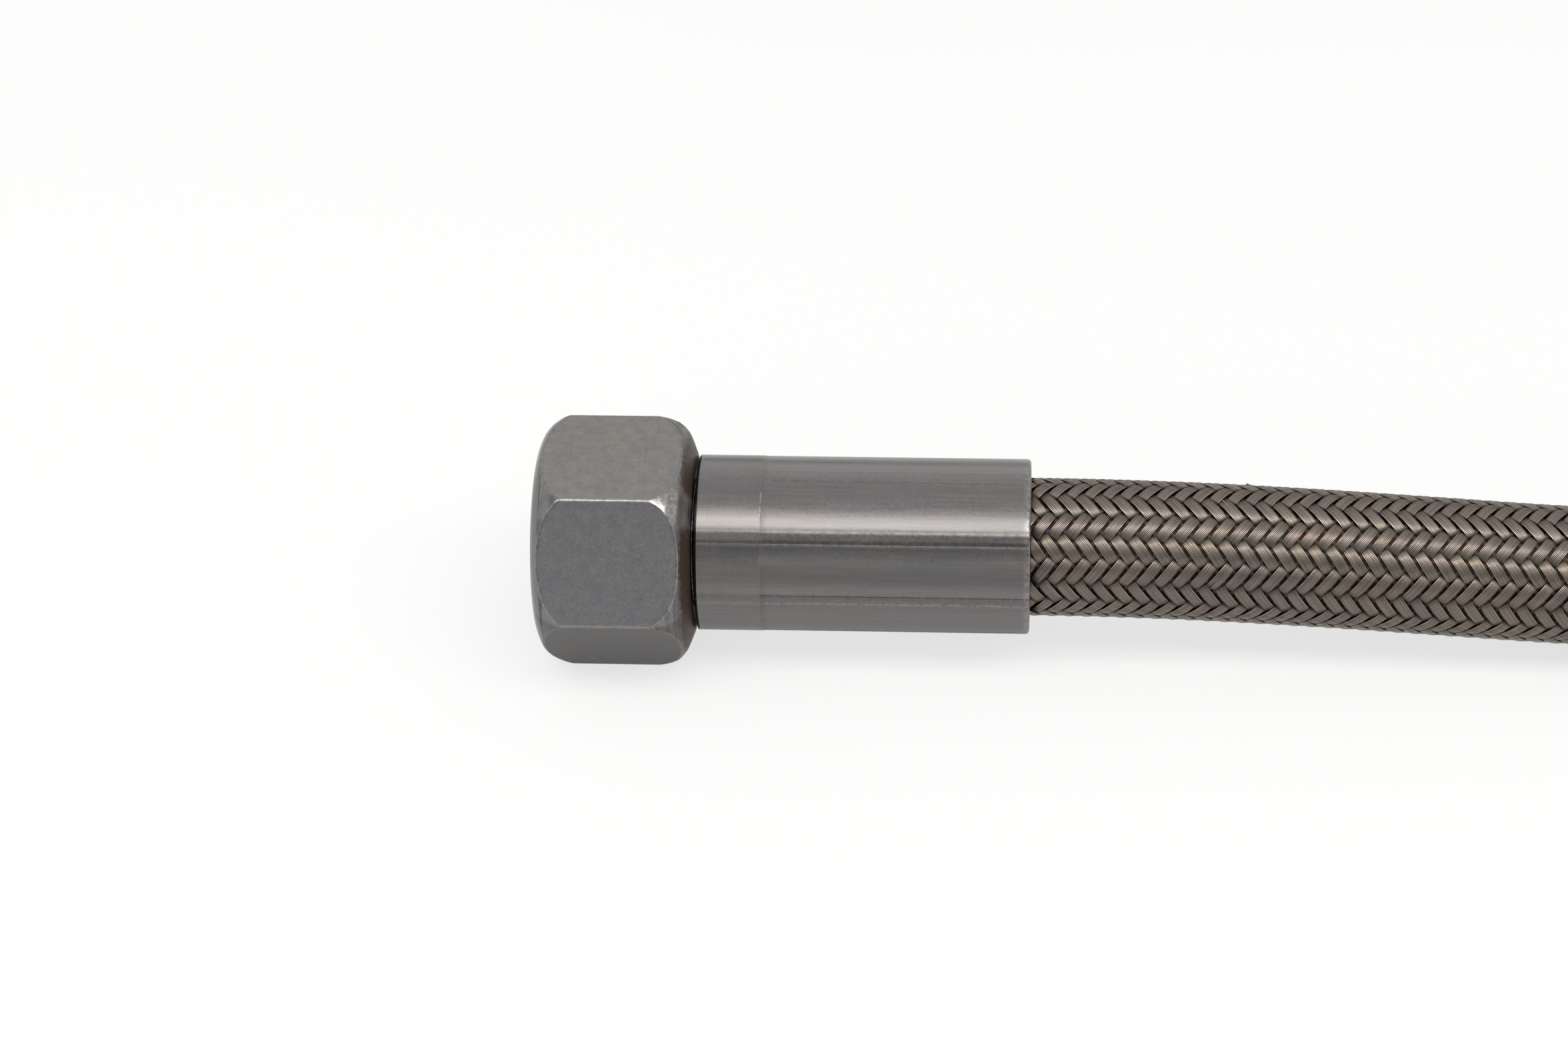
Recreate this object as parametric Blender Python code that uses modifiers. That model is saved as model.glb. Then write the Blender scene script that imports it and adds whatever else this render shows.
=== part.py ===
# PTFE high-pressure hose: half a metre of smooth-bore hose under a stainless wire braid,
# with a crimped ferrule and a union nut on a cone nipple at each end.
# Metres, +Z up. The two fittings lie side by side along X, each nut resting on a flat, and
# the hose bends round between them on the surface that they lie on. The origin is on that
# surface, midway between the fittings. Inside a fitting, Z runs from the nut's open face
# towards the hose.

import math

import bmesh
import bpy
from mathutils import Matrix, Vector
from mathutils.geometry import interpolate_bezier

COLLECTION = "ptfe_hose"
CUTTERS = "cutters"

CLEARANCE = 0.0003  # between pieces that touch, or that turn on each other
SHARP_ANGLE = math.radians(28)

# Union nut, for a G 1/2 thread
HEX_ACROSS_FLATS = 0.027
NUT_LENGTH = 0.0191
NUT_STEPS = 48
BLANK_ALLOWANCE = 0.0002  # of the turned blank over the hexagon's corners
FRONT_FACE_RADIUS = 0.0112
FRONT_ROUND_DEPTH = 0.0033
FRONT_ROUND_SWEEP = math.radians(54)
BACK_FACE_RADIUS = 0.0102
BACK_ROUND_DEPTH = 0.0045
BACK_ROUND_SWEEP = math.radians(62)
ROUND_STEPS = 5
THREAD_CREST_RADIUS = 0.00932
THREAD_ROOT_RADIUS = 0.01048
MOUTH_CHAMFER = 0.0001  # of the thread's mouth beyond its root
THREAD_END = 0.0114
RELIEF_LENGTH = 0.0018
SEAT_RADIUS = 0.0096  # where the 45 degree seat for the nipple's shoulder begins
REAR_BORE_RADIUS = 0.0080
REAR_BORE_CHAMFER = 0.0004

# Nipple
NOSE_DEPTH = 0.0068  # of its nose inside the nut's open face
NOSE_RADIUS = 0.0062
NOSE_HALF_ANGLE = math.radians(30)
HEAD_PLAY = 0.0004  # of its head inside the thread's crests
NIPPLE_BORE_RADIUS = 0.0046
BORE_CHAMFER = 0.0003
GROOVE_RADIUS = 0.0062
LOCK_RADIUS = 0.00735
LOCK_WIDTH = 0.0016
SHANK_SETBACK = 0.002  # of its shank's end inside the ferrule's mouth
SHANK_TIP = 0.001
BARB_COUNT = 7
BARB_PITCH = 0.0042
BARB_DEPTH = 0.0004
NIPPLE_STEPS = 36

# Ferrule
NUT_PLAY = 0.0004  # between the nut's back and the ferrule
FERRULE_LENGTH = 0.0401
FERRULE_WALL = 0.00185  # where it is crimped
CRIMP_DEPTH = 0.00015  # of the crimped length below the rest
CRIMP_START = 0.0078
CRIMP_STEP = 0.0002
FERRULE_FRONT_ROUND = 0.0007
FERRULE_BACK_ROUND = 0.0004
LIP_THICKNESS = 0.0022
FERRULE_STEPS = 48
EDGE_STEPS = 3
DIE_COUNT = 8
DIE_MARK_WIDTH = 0.0013
DIE_MARK_HEIGHT = 0.0001
DIE_MARK_SINK = 0.0008  # of a mark's root in the ferrule's wall
DIE_MARK_PHASE = math.radians(-3)

# Hose
BRAID_RADIUS = 0.0084
BRAID_WALL = 0.0007
LINER_WALL = 0.0010
HOSE_SIDES = 12
HOSE_POINT_SPACING = 0.016
CURVE_STEPS = 24  # between two knots of its route
FLOOR_GAP = 0.00005
GUIDE_DISTANCE = 0.010  # keeps the hose straight where it leaves the ferrule

# Half of the hose's route, from the ferrule's mouth to the middle of the bend: how far ahead
# of the mouth, how far aside towards the other fitting, and the share of its height that
# is left above its height on the surface. The other half mirrors it.
ROUTE = (
    (0.0000, 0.0000, 1.00),
    (0.0100, 0.0000, 0.98),
    (0.0220, 0.0000, 0.90),
    (0.0360, 0.0000, 0.74),
    (0.0500, 0.0000, 0.54),
    (0.0640, 0.0000, 0.34),
    (0.0800, 0.0003, 0.15),
    (0.0998, 0.0027, 0.03),
    (0.1205, 0.0100, 0.00),
    (0.1394, 0.0230, 0.00),
    (0.1540, 0.0407, 0.00),
    (0.1633, 0.0617, 0.00),
    (0.1665, 0.0847, 0.00),
)

# Places along a fitting
FERRULE_START = NUT_LENGTH + NUT_PLAY
FERRULE_END = FERRULE_START + FERRULE_LENGTH
LIP_END = FERRULE_START + LIP_THICKNESS
LOCK_START = LIP_END + CLEARANCE
LOCK_END = LOCK_START + LOCK_WIDTH
HOSE_START = LOCK_END + CLEARANCE

# Sizes that follow from the ones above. A twelve-sided tube's flats lie inside its corners.
FLAT_SHARE = math.cos(math.pi / HOSE_SIDES)
HEX_CORNER_RADIUS = HEX_ACROSS_FLATS / 2 / math.cos(math.pi / 6)
NECK_RADIUS = REAR_BORE_RADIUS - CLEARANCE
HEAD_RADIUS = THREAD_CREST_RADIUS - HEAD_PLAY
LIP_RADIUS = GROOVE_RADIUS + CLEARANCE
FERRULE_BORE_RADIUS = BRAID_RADIUS + CLEARANCE
CRIMPED_RADIUS = FERRULE_BORE_RADIUS + FERRULE_WALL
FERRULE_RADIUS = CRIMPED_RADIUS + CRIMP_DEPTH
LINER_RADIUS = BRAID_RADIUS - (BRAID_WALL + CLEARANCE) / FLAT_SHARE
BARB_RADIUS = LINER_RADIUS * FLAT_SHARE - LINER_WALL - CLEARANCE
AXIS_HEIGHT = HEX_ACROSS_FLATS / 2
RESTING_HEIGHT = BRAID_RADIUS + FLOOR_GAP
HALF_SPACING = ROUTE[-1][1]


def clearScene():
    for obj in list(bpy.data.objects):
        bpy.data.objects.remove(obj, do_unlink=True)


def newCollection(name):
    collection = bpy.data.collections.new(name)
    bpy.context.scene.collection.children.link(collection)
    return collection


def makeMaterial(name, color, metallic, roughness):
    material = bpy.data.materials.new(name)
    material.use_nodes = True
    shader = material.node_tree.nodes["Principled BSDF"]
    shader.inputs["Base Color"].default_value = (*color, 1.0)
    shader.inputs["Metallic"].default_value = metallic
    shader.inputs["Roughness"].default_value = roughness
    return material


def turnedPiece(name, profile, steps, collection):
    """A ring turned about Z. The profile runs down its outer side and back up its bore."""
    mesh = bpy.data.meshes.new(name)
    count = len(profile)
    points = [(radius, 0.0, z) for radius, z in profile]
    mesh.from_pydata(points, [(i, (i + 1) % count) for i in range(count)], [])
    obj = bpy.data.objects.new(name, mesh)
    collection.objects.link(obj)
    screw = obj.modifiers.new("turn", "SCREW")
    screw.steps = steps
    screw.render_steps = steps
    screw.use_merge_vertices = True
    screw.merge_threshold = 0.00001
    return obj


def helperPiece(name, bm, collection):
    """A shape that only cuts or joins another."""
    mesh = bpy.data.meshes.new(name)
    bm.to_mesh(mesh)
    bm.free()
    obj = bpy.data.objects.new(name, mesh)
    collection.objects.link(obj)
    obj.hide_render = True
    obj.display_type = "WIRE"
    return obj


def combine(obj, helper, operation):
    boolean = obj.modifiers.new(operation.lower(), "BOOLEAN")
    boolean.operation = operation
    boolean.object = helper


def settle(obj, material):
    """Turns the modifiers' result into the piece's own mesh, smooth between its sharp edges."""
    graph = bpy.context.evaluated_depsgraph_get()
    mesh = bpy.data.meshes.new_from_object(obj.evaluated_get(graph))
    mesh.name = obj.name
    obj.modifiers.clear()
    obj.data = mesh
    mesh.shade_smooth()
    mesh.set_sharp_from_angle(angle=SHARP_ANGLE)
    mesh.materials.clear()
    mesh.materials.append(material)


def roundedEnd(faceRadius, depth, sweep):
    """(radius, depth) points from the end face out to the blank's full radius."""
    rise = (HEX_CORNER_RADIUS + BLANK_ALLOWANCE - faceRadius) / math.sin(sweep)
    length = depth / (1 - math.cos(sweep))
    turns = [sweep * i / ROUND_STEPS for i in range(ROUND_STEPS + 1)]
    return [(faceRadius + rise * math.sin(t), length * (1 - math.cos(t))) for t in turns]


def nutProfile():
    back = roundedEnd(BACK_FACE_RADIUS, BACK_ROUND_DEPTH, BACK_ROUND_SWEEP)
    front = roundedEnd(FRONT_FACE_RADIUS, FRONT_ROUND_DEPTH, FRONT_ROUND_SWEEP)
    mouthRadius = THREAD_ROOT_RADIUS + MOUTH_CHAMFER
    reliefEnd = THREAD_END + RELIEF_LENGTH
    seatEnd = reliefEnd + SEAT_RADIUS - REAR_BORE_RADIUS
    outside = [(radius, NUT_LENGTH - depth) for radius, depth in back]
    outside += list(reversed(front))
    bore = [
        (mouthRadius, 0.0),
        (THREAD_CREST_RADIUS, mouthRadius - THREAD_CREST_RADIUS),
        (THREAD_CREST_RADIUS, THREAD_END),
        (THREAD_ROOT_RADIUS, THREAD_END),
        (THREAD_ROOT_RADIUS, reliefEnd),
        (SEAT_RADIUS, reliefEnd),
        (REAR_BORE_RADIUS, seatEnd),
        (REAR_BORE_RADIUS, NUT_LENGTH - REAR_BORE_CHAMFER),
        (REAR_BORE_RADIUS + REAR_BORE_CHAMFER, NUT_LENGTH),
    ]
    return outside + bore


def makeNut(name, parent, parts, cutters, material):
    nut = turnedPiece(name, nutProfile(), NUT_STEPS, parts)
    hexagonLength = NUT_LENGTH * 2  # it stands out of both of the nut's ends
    bm = bmesh.new()
    bmesh.ops.create_cone(
        bm,
        cap_ends=True,
        segments=6,
        radius1=HEX_CORNER_RADIUS,
        radius2=HEX_CORNER_RADIUS,
        depth=hexagonLength,
    )
    bmesh.ops.translate(bm, verts=bm.verts, vec=(0.0, 0.0, NUT_LENGTH / 2))
    hexagon = helperPiece(name + "_hexagon", bm, cutters)
    combine(nut, hexagon, "INTERSECT")
    settle(nut, material)
    nut.parent = parent
    hexagon.parent = parent


def nippleProfile():
    shoulderRun = SEAT_RADIUS - HEAD_RADIUS
    seatGap = CLEARANCE * math.sqrt(2)  # along the axis, on a 45 degree seat
    headEnd = THREAD_END + RELIEF_LENGTH + shoulderRun - seatGap
    neckStart = headEnd + HEAD_RADIUS - NECK_RADIUS
    neckEnd = FERRULE_START - CLEARANCE
    coneEnd = NOSE_DEPTH + (HEAD_RADIUS - NOSE_RADIUS) / math.tan(NOSE_HALF_ANGLE)
    shankEnd = FERRULE_END - SHANK_SETBACK
    rootRadius = BARB_RADIUS - BARB_DEPTH
    outside = [(rootRadius - BORE_CHAMFER, shankEnd), (rootRadius, shankEnd - SHANK_TIP)]
    for i in range(BARB_COUNT):
        crest = shankEnd - SHANK_TIP - (i + 1) * BARB_PITCH
        outside += [(BARB_RADIUS, crest), (rootRadius, crest)]
    outside += [
        (rootRadius, LOCK_END),
        (LOCK_RADIUS, LOCK_END),
        (LOCK_RADIUS, LOCK_START),
        (GROOVE_RADIUS, LOCK_START),
        (GROOVE_RADIUS, neckEnd),
        (NECK_RADIUS, neckEnd),
        (NECK_RADIUS, neckStart),
        (HEAD_RADIUS, headEnd),
        (HEAD_RADIUS, coneEnd),
        (NOSE_RADIUS, NOSE_DEPTH),
    ]
    bore = [
        (NIPPLE_BORE_RADIUS + BORE_CHAMFER, NOSE_DEPTH),
        (NIPPLE_BORE_RADIUS, NOSE_DEPTH + BORE_CHAMFER),
        (NIPPLE_BORE_RADIUS, shankEnd),
    ]
    return outside + bore


def makeNipple(name, parent, parts, material):
    nipple = turnedPiece(name, nippleProfile(), NIPPLE_STEPS, parts)
    settle(nipple, material)
    nipple.parent = parent


def ferruleProfile():
    crimpStart = FERRULE_START + CRIMP_START
    frontEdge = FERRULE_RADIUS - FERRULE_FRONT_ROUND
    backEdge = CRIMPED_RADIUS - FERRULE_BACK_ROUND
    outside = [(backEdge, FERRULE_END)]
    outside += [(CRIMPED_RADIUS, FERRULE_END - FERRULE_BACK_ROUND)]
    outside += [(CRIMPED_RADIUS, crimpStart + CRIMP_STEP), (FERRULE_RADIUS, crimpStart)]
    turns = [math.pi / 2 * i / EDGE_STEPS for i in range(EDGE_STEPS + 1)]
    outside += [
        (
            frontEdge + FERRULE_FRONT_ROUND * math.cos(t),
            FERRULE_START + FERRULE_FRONT_ROUND * (1 - math.sin(t)),
        )
        for t in turns
    ]
    bore = [
        (LIP_RADIUS, FERRULE_START),
        (LIP_RADIUS, LIP_END),
        (FERRULE_BORE_RADIUS, LIP_END),
        (FERRULE_BORE_RADIUS, FERRULE_END),
    ]
    return outside + bore


def makeFerrule(name, parent, parts, cutters, material):
    ferrule = turnedPiece(name, ferruleProfile(), FERRULE_STEPS, parts)
    start = FERRULE_START + CRIMP_START + CRIMP_STEP
    end = FERRULE_END - FERRULE_BACK_ROUND
    inner = CRIMPED_RADIUS - DIE_MARK_SINK
    outer = CRIMPED_RADIUS + DIE_MARK_HEIGHT
    size = Matrix.Diagonal((outer - inner, DIE_MARK_WIDTH, end - start, 1.0))
    place = Matrix.Translation(((inner + outer) / 2, 0.0, (start + end) / 2))
    bm = bmesh.new()
    for i in range(DIE_COUNT):
        turn = Matrix.Rotation(DIE_MARK_PHASE + i * math.tau / DIE_COUNT, 4, "Z")
        bmesh.ops.create_cube(bm, size=1.0, matrix=turn @ place @ size)
    marks = helperPiece(name + "_die_marks", bm, cutters)
    combine(ferrule, marks, "UNION")
    settle(ferrule, material)
    ferrule.parent = parent
    marks.parent = parent


def smoothCurve(knots):
    """Points along a smooth curve through the knots."""
    padded = [2 * knots[0] - knots[1]] + knots + [2 * knots[-1] - knots[-2]]
    points = []
    for before, here, there, after in zip(padded, padded[1:], padded[2:], padded[3:]):
        leaving = here + (there - before) / 6
        arriving = there - (after - here) / 6
        span = interpolate_bezier(here, leaving, arriving, there, CURVE_STEPS + 1)
        points += [Vector(p) for p in span[:-1]]
    return points + [knots[-1]]


def evenlySpaced(points, spacing):
    """The curve's points again, as close to the spacing as fits a whole number of times."""
    lengths = [0.0]
    for a, b in zip(points, points[1:]):
        lengths.append(lengths[-1] + (b - a).length)
    count = round(lengths[-1] / spacing)
    found = []
    i = 0
    for k in range(count + 1):
        target = lengths[-1] * k / count
        while i < len(points) - 2 and lengths[i + 1] < target:
            i += 1
        share = (target - lengths[i]) / (lengths[i + 1] - lengths[i])
        found.append(points[i].lerp(points[i + 1], share))
    return found


def hosePoints():
    """The hose's centre line, from its end in one ferrule to its end in the other."""
    mouthX = FERRULE_END / 2
    insideX = mouthX - (FERRULE_END - HOSE_START)
    drop = AXIS_HEIGHT - RESTING_HEIGHT
    half = [
        Vector((insideX, -HALF_SPACING, AXIS_HEIGHT)),
        Vector((mouthX - GUIDE_DISTANCE, -HALF_SPACING, AXIS_HEIGHT)),
    ]
    for ahead, aside, share in ROUTE:
        half.append(Vector((mouthX + ahead, aside - HALF_SPACING, RESTING_HEIGHT + drop * share)))
    mirrored = [Vector((p.x, -p.y, p.z)) for p in reversed(half[:-1])]
    return evenlySpaced(smoothCurve(half + mirrored), HOSE_POINT_SPACING)


def makeHoseTube(name, points, radius, wall, parts, material):
    """An open tube along the centre line, with its wall on the inside."""
    curve = bpy.data.curves.new(name, "CURVE")
    curve.dimensions = "3D"
    curve.twist_mode = "Z_UP"
    curve.bevel_depth = radius
    curve.bevel_resolution = (HOSE_SIDES - 4) // 2  # four sides, and two for each step
    spline = curve.splines.new("POLY")
    spline.points.add(len(points) - 1)
    for point, place in zip(spline.points, points):
        point.co = (*place, 1.0)
    tube = bpy.data.objects.new(name, curve)
    parts.objects.link(tube)
    solidify = tube.modifiers.new("wall", "SOLIDIFY")
    solidify.thickness = wall
    solidify.offset = -1.0
    solidify.use_even_offset = True
    curve.materials.append(material)


def fittingEmpty(name, side, parts):
    """Stands a fitting's Z along the world's X, with its nut's open face at -X."""
    empty = bpy.data.objects.new(name, None)
    empty.empty_display_size = HEX_ACROSS_FLATS
    empty.location = (-FERRULE_END / 2, side * HALF_SPACING, AXIS_HEIGHT)
    empty.rotation_euler = (0.0, math.pi / 2, 0.0)
    parts.objects.link(empty)
    return empty


def main():
    clearScene()
    parts = newCollection(COLLECTION)
    cutters = newCollection(CUTTERS)
    nutSteel = makeMaterial("nut_steel", (0.30, 0.29, 0.28), 1.0, 0.42)
    ferruleSteel = makeMaterial("ferrule_steel", (0.34, 0.33, 0.32), 1.0, 0.34)
    nippleSteel = makeMaterial("nipple_steel", (0.42, 0.41, 0.39), 1.0, 0.30)
    braidWire = makeMaterial("braid_wire", (0.36, 0.33, 0.30), 1.0, 0.32)
    ptfe = makeMaterial("ptfe", (0.86, 0.85, 0.82), 0.0, 0.45)
    for letter, side in (("a", -1), ("b", 1)):
        fitting = fittingEmpty("fitting_" + letter, side, parts)
        makeNut("swivel_nut_" + letter, fitting, parts, cutters, nutSteel)
        makeNipple("nipple_" + letter, fitting, parts, nippleSteel)
        makeFerrule("ferrule_" + letter, fitting, parts, cutters, ferruleSteel)
    points = hosePoints()
    makeHoseTube("hose_braid", points, BRAID_RADIUS, BRAID_WALL, parts, braidWire)
    makeHoseTube("hose_liner", points, LINER_RADIUS, LINER_WALL, parts, ptfe)


main()
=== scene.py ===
import math
from functools import partial

import bmesh
import bpy
from mathutils import Matrix, Vector
from mathutils.geometry import interpolate_bezier


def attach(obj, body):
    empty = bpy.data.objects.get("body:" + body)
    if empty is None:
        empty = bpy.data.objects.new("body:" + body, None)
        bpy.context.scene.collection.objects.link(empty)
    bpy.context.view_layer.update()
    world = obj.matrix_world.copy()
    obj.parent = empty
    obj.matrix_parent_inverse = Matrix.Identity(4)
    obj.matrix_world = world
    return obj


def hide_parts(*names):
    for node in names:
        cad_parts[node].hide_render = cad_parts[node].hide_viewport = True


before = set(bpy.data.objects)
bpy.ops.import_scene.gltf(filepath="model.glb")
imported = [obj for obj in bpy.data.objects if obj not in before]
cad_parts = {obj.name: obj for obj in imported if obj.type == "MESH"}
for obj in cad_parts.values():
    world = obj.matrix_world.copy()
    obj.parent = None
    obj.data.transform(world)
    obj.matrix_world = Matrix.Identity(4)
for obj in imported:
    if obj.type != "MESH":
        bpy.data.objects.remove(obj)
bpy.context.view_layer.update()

# PTFE hose with crimped ferrules and union nuts: the camera and the hose first, then the
# fittings, and the studio last. Metres, in the solids' own frame.
mm = 0.001
fittings = {"a": -0.0847, "b": 0.0847}  # where each fitting's axis lies along Y
axisHeight = 0.0135
openFace = -0.0298  # x of the nuts' open faces
print("solids loaded:", len(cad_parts))

camera = {
    "lens": 83.56,  # in mm
    "yaw": 3.44,  # in degrees, as are the next two
    "elevation": 41.82,
    "roll": 0.79,
    "distance": 0.4433,
    "aim": (-0.00012, fittings["a"], axisHeight),
    "lift": 0.0025,
    "nearest": 0.01,  # that it sees
}


def addObject(name, data):
    obj = bpy.data.objects.new(name, data)
    bpy.context.scene.collection.objects.link(obj)
    return obj


def makeCamera():
    yaw, elevation, roll = (math.radians(camera[k]) for k in ("yaw", "elevation", "roll"))
    forward = Vector((
        -math.sin(yaw),
        math.cos(yaw) * math.cos(elevation),
        -math.cos(yaw) * math.sin(elevation),
    ))
    right = Vector((
        math.cos(yaw),
        math.sin(yaw) * math.cos(elevation),
        -math.sin(yaw) * math.sin(elevation),
    ))
    up = right.cross(forward)
    right, up = (
        right * math.cos(roll) + up * math.sin(roll),
        up * math.cos(roll) - right * math.sin(roll),
    )
    place = Vector(camera["aim"]) + up * camera["lift"] - forward * camera["distance"]
    data = bpy.data.cameras.new("camera")
    data.lens = camera["lens"]
    data.clip_start = camera["nearest"]
    obj = addObject("camera", data)
    turn = Matrix((right, up, -forward)).transposed()
    obj.matrix_world = Matrix.Translation(place) @ turn.to_4x4()
    bpy.context.scene.camera = obj


makeCamera()
print("camera placed")


# Node helpers, for geometry and shader trees alike
def feed(tree, socket, value):
    if isinstance(value, bpy.types.NodeSocket):
        tree.links.new(value, socket)
    elif value is not None:
        socket.default_value = value


def addNode(tree, kind, inputs=None, **settings):
    node = tree.nodes.new(kind)
    for key, value in settings.items():
        setattr(node, key, value)
    for key, value in (inputs or {}).items():
        feed(tree, node.inputs[key], value)
    return node


def calc(tree, operation, *values):
    return addNode(tree, "ShaderNodeMath", dict(enumerate(values)), operation=operation).outputs[0]


def pick(tree, index, values):
    node = tree.nodes.new("GeometryNodeIndexSwitch")
    node.data_type = "FLOAT"
    while len(node.index_switch_items) < len(values):
        node.index_switch_items.new()
    feed(tree, node.inputs[0], index)
    for socket, value in zip(list(node.inputs)[1:], values):
        socket.default_value = value
    return node.outputs[0]


def vectorCalc(tree, operation, *values):
    node = addNode(tree, "ShaderNodeVectorMath", dict(enumerate(values)), operation=operation)
    return node.outputs["Vector"]


def scaled(tree, vector, factor):
    inputs = {"Vector": vector, "Scale": factor}
    return addNode(tree, "ShaderNodeVectorMath", inputs, operation="SCALE").outputs["Vector"]


def combined(tree, *values):
    return addNode(tree, "ShaderNodeCombineXYZ", dict(enumerate(values))).outputs[0]


def chance(tree, identity, seed):
    inputs = {"ID": identity, "Seed": seed}
    return addNode(tree, "FunctionNodeRandomValue", inputs, data_type="FLOAT").outputs[1]


# A starting value, with each effect added by its amount
def summed(tree, start, effects):
    for effect, amount in effects:
        start = calc(tree, "MULTIPLY_ADD", effect, amount, start)
    return start


def stored(tree, geometry, name, value, **settings):
    inputs = {"Geometry": geometry, "Name": name, "Value": value}
    return addNode(tree, "GeometryNodeStoreNamedAttribute", inputs, **settings).outputs[0]

def remap(tree, value, fromMin, fromMax, toMin=0.0, toMax=1.0, smooth=False):
    inputs = {"Value": value, "From Min": fromMin, "From Max": fromMax, "To Min": toMin, "To Max": toMax}
    kind = "SMOOTHSTEP" if smooth else "LINEAR"
    return addNode(tree, "ShaderNodeMapRange", inputs, interpolation_type=kind).outputs["Result"]


# An input is given by its first value, or by its kind where it has none
def addSockets(tree, inputs, outputs):
    for name, value in inputs.items():
        kind = {int: "Int", float: "Float", tuple: "Color"}.get(type(value), value)
        socket = tree.interface.new_socket(name, in_out="INPUT", socket_type="NodeSocket" + kind)
        if kind != value:
            socket.default_value = value
    for name, kind in outputs.items():
        tree.interface.new_socket(name, in_out="OUTPUT", socket_type="NodeSocket" + kind)


# The hose lies on the surface and bends round from one fitting to the other. Half its route:
# ahead of the ferrule's mouth, aside, and the share of its height that is left.
hose = {
    "mouth": 0.0298,
    "start": -0.0059,  # of the hose, inside the ferrule
    "leaves at": 0.0238,  # where the ferrule lets go of it, just inside its mouth
    "braid lead in": 7.0 * mm,  # of the plaits, inside the ferrule
    "spacing": 0.004,  # of the points along the tubes
    "braid spacing": 0.002,
    "tube resolution": 10,
    "guide": 0.010,
    "resting height": 0.00845,
    "length": 0.5,
    "diameter": 0.0168,
    "under layer": 0.0079,
    "under layer wall": 0.0004,
    "liner": 0.00735,
    "liner wall": 0.0010,
    "half route": (
        (0.0000, 0.0000, 1.00),
        (0.0100, 0.0000, 0.98),
        (0.0220, 0.0000, 0.90),
        (0.0360, 0.0000, 0.74),
        (0.0500, 0.0000, 0.54),
        (0.0640, 0.0000, 0.34),
        (0.0800, 0.0003, 0.15),
        (0.0998, 0.0027, 0.03),
        (0.1205, 0.0100, 0.00),
        (0.1394, 0.0230, 0.00),
        (0.1540, 0.0407, 0.00),
        (0.1633, 0.0617, 0.00),
        (0.1665, 0.0847, 0.00),
    ),
}


def smoothCurve(knots, steps=24):
    padded = [2 * knots[0] - knots[1]] + knots + [2 * knots[-1] - knots[-2]]
    points = []
    for before, here, there, after in zip(padded, padded[1:], padded[2:], padded[3:]):
        leaving = here + (there - before) / 6
        arriving = there - (after - here) / 6
        points += [Vector(p) for p in interpolate_bezier(here, leaving, arriving, there, steps + 1)[:-1]]
    return points + [knots[-1]]


# Points along a line of points, all the same distance apart
def spread(points, steps=None, spacing=None):
    lengths = [0.0]
    for a, b in zip(points, points[1:]):
        lengths.append(lengths[-1] + (b - a).length)
    steps = steps or round(lengths[-1] / spacing)
    found = []
    i = 0
    for k in range(steps + 1):
        target = lengths[-1] * k / steps
        while i < len(points) - 2 and lengths[i + 1] < target:
            i += 1
        share = (target - lengths[i]) / (lengths[i + 1] - lengths[i])
        found.append(points[i].lerp(points[i + 1], share))
    return found


def hosePath(spacing):
    side = fittings["a"]
    drop = axisHeight - hose["resting height"]
    half = [
        Vector((hose["start"], side, axisHeight)),
        Vector((hose["mouth"] - hose["guide"], side, axisHeight)),
    ]
    for ahead, aside, share in hose["half route"]:
        height = hose["resting height"] + drop * share
        half.append(Vector((hose["mouth"] + ahead, side + aside, height)))
    mirrored = [Vector((p.x, -p.y, p.z)) for p in reversed(half[:-1])]
    return spread(smoothCurve(half + mirrored), spacing=spacing)


def pathCurve(name, points):
    curve = bpy.data.curves.new(name, "CURVE")
    curve.dimensions = "3D"
    curve.twist_mode = "Z_UP"
    spline = curve.splines.new("POLY")
    spline.points.add(len(points) - 1)
    for point, place in zip(spline.points, points):
        point.co = (*place, 1.0)
    return addObject(name, curve)


def hoseTube(name, points, radius, wall):
    obj = pathCurve(name, points)
    obj.data.bevel_depth = radius
    obj.data.bevel_resolution = hose["tube resolution"]
    solidify = obj.modifiers.new("wall", "SOLIDIFY")
    solidify.thickness = wall
    solidify.offset = -1.0
    return obj


tubePoints = hosePath(hose["spacing"])
# A dark tube under the braid, whose colour is painted shade seen through the braid's gaps
shadeLayer = hoseTube("braid_shade_layer", tubePoints, hose["under layer"], hose["under layer wall"])
liner = hoseTube("ptfe_liner", tubePoints, hose["liner"], hose["liner wall"])
print("hose tubes made")

plaitsEachWay = 18
crossings = 4  # in a repeat of the weave, where a plait goes over two others and under two
floatRings = (  # the rings of a repeat: place in crossings, share of the wave
    (-0.46, 0.35), (0.12, 1.0), (0.88, 1.0), (1.46, 0.35), (1.74, -1.0), (3.26, -1.0),
)
braid = {  # by the names of the node group's inputs
    "Wires": 8,  # in a plait
    "Wire": 0.165 * mm,
    "Plait Width": 1.31 * mm,
    "Middle Radius": 8.14 * mm,
    "Wave": 0.18 * mm,  # of a plait over and under its neighbours
    "Lead": 37.87 * mm,
    "Row Angle": math.radians(5.7),
    "Shift": 0.5,  # of the pattern along the hose, in crossings
    "Unevenness": 0.03 * mm,
    "Snag": 0.28 * mm,  # height of a snagged wire
    "Snags": 0.0008,  # share of the wires' high points that are snagged
}
plaitShape = {  # heights in wire diameters
    "crest": 0.58,  # of a wire, over the valley beside it
    "valley": -0.08,
    "outermost": -0.42,
    "edge": -0.50,  # how far the outer wires sink, by the cube of how far out they are
    "wobble along": 0.22,
    "wobble across": 3.7,
    "snags above": -0.85,  # sine of the lowest angle round the hose that has them
    "texture step": 1.75,  # for each crossing
    "near": 0.25,  # whole numbers that differ by less are the same
}


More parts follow.
